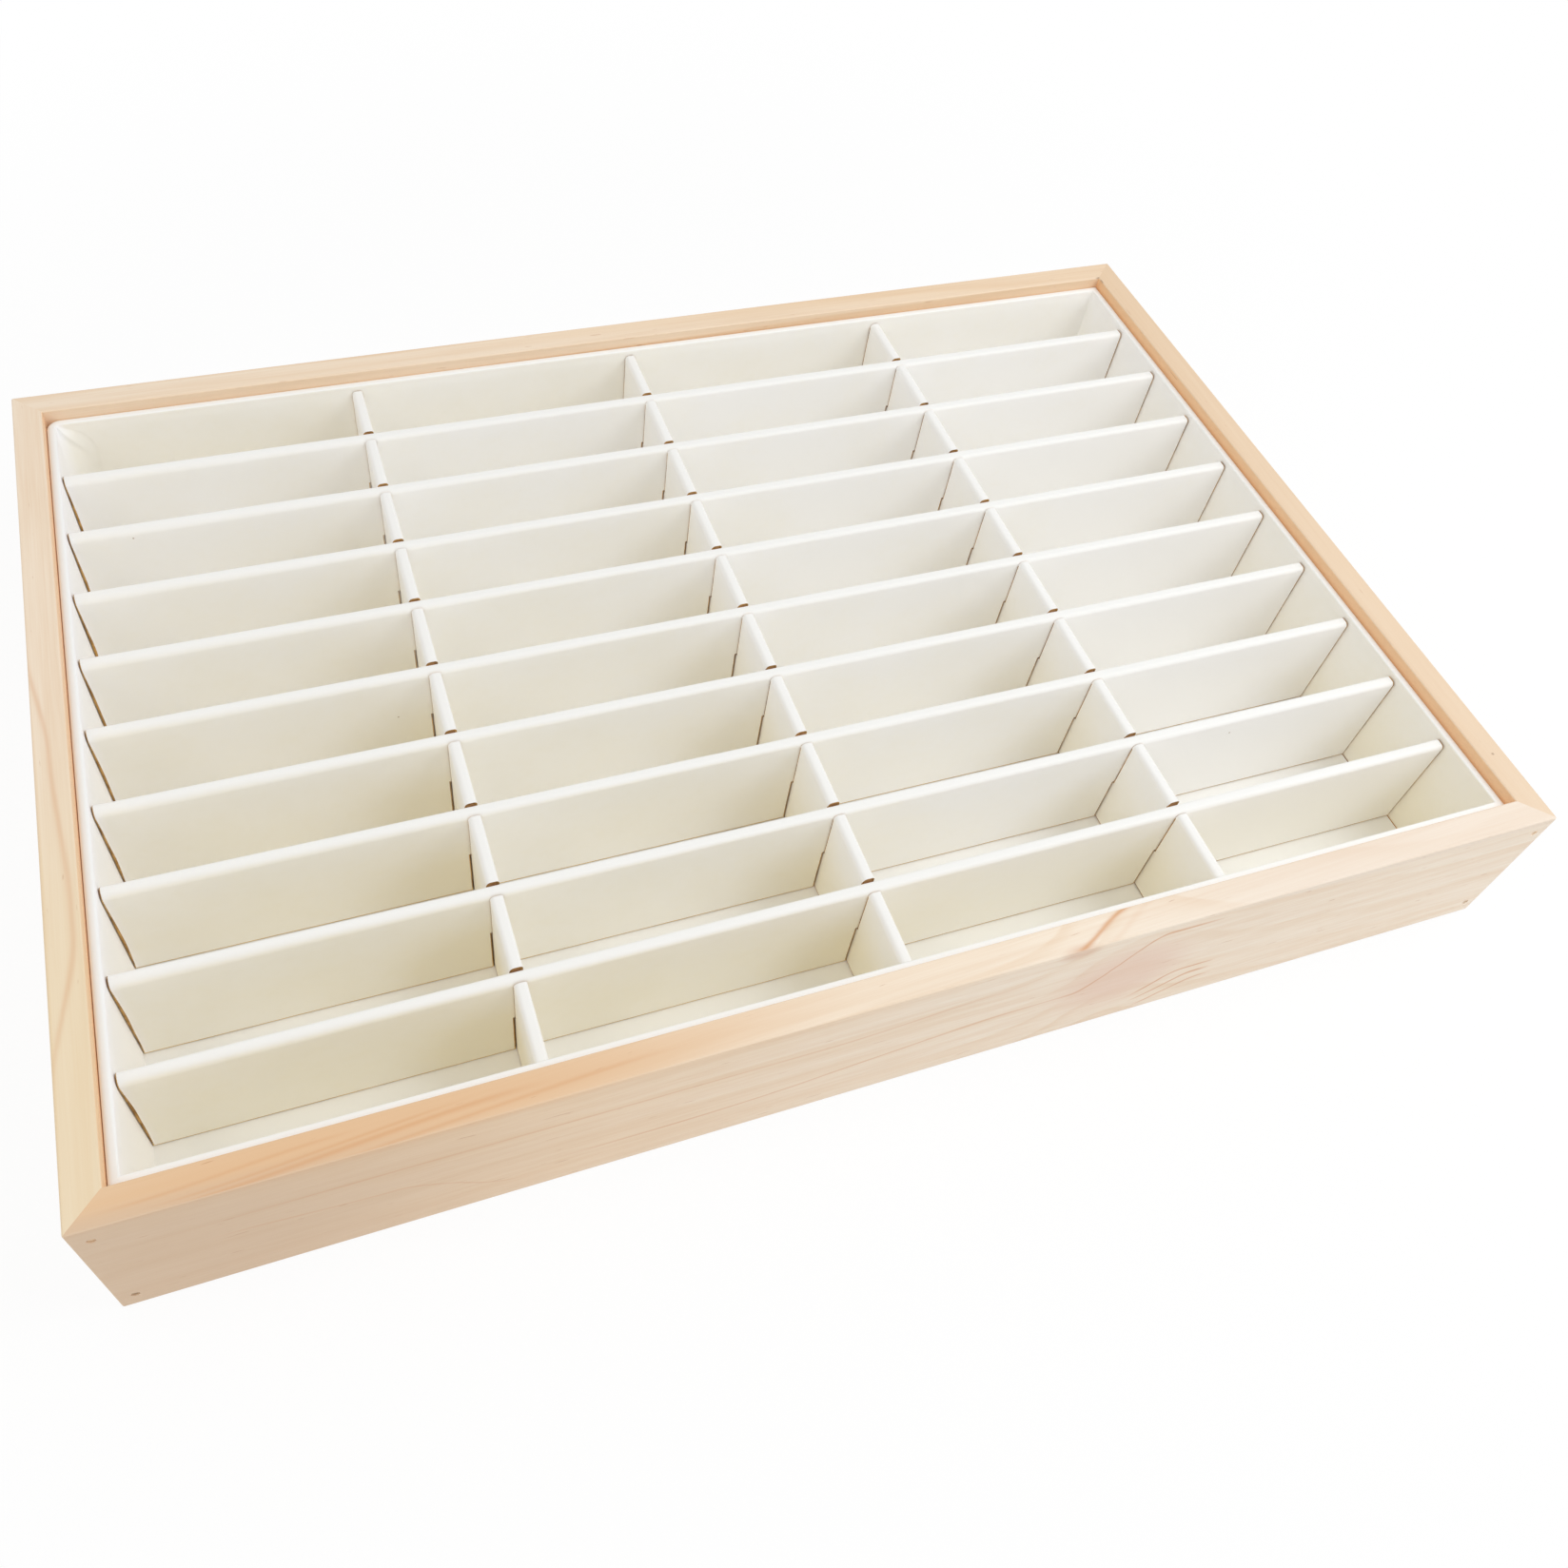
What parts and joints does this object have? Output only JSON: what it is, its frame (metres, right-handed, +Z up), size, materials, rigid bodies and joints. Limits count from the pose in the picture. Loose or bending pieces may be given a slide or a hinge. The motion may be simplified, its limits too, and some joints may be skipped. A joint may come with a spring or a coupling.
{
  "type": "jewelry display tray",
  "caption": "Open wooden jewelry display tray with a lift-out leatherette lined insert and half-lapped dividers that form long narrow compartments.",
  "frame": {"origin": "centre of the tray's footprint, on the plane that the rails' undersides rest on", "axes": "+X along the long side to the right, +Y towards the back, +Z up"},
  "size_m": [0.35, 0.24, 0.045],
  "materials": {
    "pine": "sanded bare pine",
    "fibreboard": "raw brown fibreboard",
    "panel_board": "thin hardboard",
    "grey_board": "card board",
    "leatherette": "smooth matt ivory leatherette",
    "steel": "plain steel brad"
  },
  "bodies": {
    "frame": {"front_rail": "pine", "back_rail": "pine", "left_rail": "pine", "right_rail": "pine", "base_panel": "panel_board", "corner_brads": "steel"},
    "liner": {"liner_front_board": "grey_board", "liner_back_board": "grey_board", "liner_left_board": "grey_board", "liner_right_board": "grey_board", "liner_floor_board": "grey_board", "liner_floor_wrap": "leatherette", "liner_wall_wrap": "leatherette"},
    "cross_dividers": {"cross_divider_1_core": "fibreboard", "cross_divider_1_wrap": "leatherette", "cross_divider_2_core": "fibreboard", "cross_divider_2_wrap": "leatherette", "cross_divider_3_core": "fibreboard", "cross_divider_3_wrap": "leatherette"},
    "long_divider_1": {"long_divider_1_core": "fibreboard", "long_divider_1_wrap": "leatherette"},
    "long_divider_2": {"long_divider_2_core": "fibreboard", "long_divider_2_wrap": "leatherette"},
    "long_divider_3": {"long_divider_3_core": "fibreboard", "long_divider_3_wrap": "leatherette"},
    "long_divider_4": {"long_divider_4_core": "fibreboard", "long_divider_4_wrap": "leatherette"},
    "long_divider_5": {"long_divider_5_core": "fibreboard", "long_divider_5_wrap": "leatherette"},
    "long_divider_6": {"long_divider_6_core": "fibreboard", "long_divider_6_wrap": "leatherette"},
    "long_divider_7": {"long_divider_7_core": "fibreboard", "long_divider_7_wrap": "leatherette"},
    "long_divider_8": {"long_divider_8_core": "fibreboard", "long_divider_8_wrap": "leatherette"},
    "long_divider_9": {"long_divider_9_core": "fibreboard", "long_divider_9_wrap": "leatherette"}
  },
  "joints": [
    {"name": "liner_lift", "type": "slide", "parent": "frame", "child": "liner", "axis": [0, 0, 1], "range_m": [0, 0.0412]},
    {"name": "cross_dividers_lift", "type": "slide", "parent": "liner", "child": "cross_dividers", "axis": [0, 0, 1], "range_m": [0, 0.0357]},
    {"name": "long_divider_1_lift", "type": "slide", "parent": "cross_dividers", "child": "long_divider_1", "axis": [0, 0, 1], "range_m": [0, 0.0342]},
    {"name": "long_divider_2_lift", "type": "slide", "parent": "cross_dividers", "child": "long_divider_2", "axis": [0, 0, 1], "range_m": [0, 0.0342]},
    {"name": "long_divider_3_lift", "type": "slide", "parent": "cross_dividers", "child": "long_divider_3", "axis": [0, 0, 1], "range_m": [0, 0.0342]},
    {"name": "long_divider_4_lift", "type": "slide", "parent": "cross_dividers", "child": "long_divider_4", "axis": [0, 0, 1], "range_m": [0, 0.0342]},
    {"name": "long_divider_5_lift", "type": "slide", "parent": "cross_dividers", "child": "long_divider_5", "axis": [0, 0, 1], "range_m": [0, 0.0342]},
    {"name": "long_divider_6_lift", "type": "slide", "parent": "cross_dividers", "child": "long_divider_6", "axis": [0, 0, 1], "range_m": [0, 0.0342]},
    {"name": "long_divider_7_lift", "type": "slide", "parent": "cross_dividers", "child": "long_divider_7", "axis": [0, 0, 1], "range_m": [0, 0.0342]},
    {"name": "long_divider_8_lift", "type": "slide", "parent": "cross_dividers", "child": "long_divider_8", "axis": [0, 0, 1], "range_m": [0, 0.0342]},
    {"name": "long_divider_9_lift", "type": "slide", "parent": "cross_dividers", "child": "long_divider_9", "axis": [0, 0, 1], "range_m": [0, 0.0342]}
  ]
}
